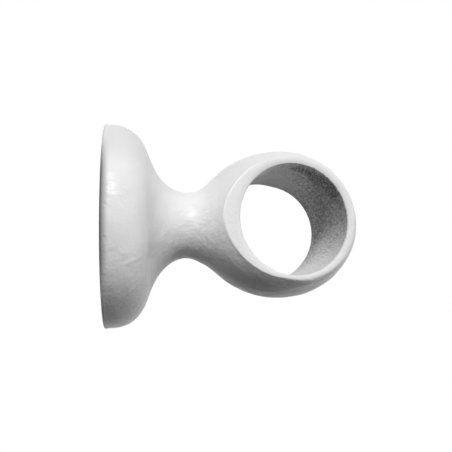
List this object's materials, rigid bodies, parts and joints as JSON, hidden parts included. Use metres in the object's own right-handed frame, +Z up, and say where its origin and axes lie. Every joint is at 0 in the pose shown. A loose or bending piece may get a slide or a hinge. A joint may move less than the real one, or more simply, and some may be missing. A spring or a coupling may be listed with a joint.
{
  "type": "curtain pole bracket",
  "caption": "One-piece wall bracket: domed round base, waisted neck and a ball-shaped ring bored through to carry a curtain pole.",
  "frame": {"origin": "middle of the flat wall face, at the mouth of the tapped hole", "axes": "+X out from the wall along the neck, +Y along the pole, +Z up"},
  "size_m": [0.0702, 0.053, 0.053],
  "materials": {
    "white_paint": "satin"
  },
  "bodies": {
    "root": {"bracket_casting": "white_paint"}
  },
  "joints": []
}
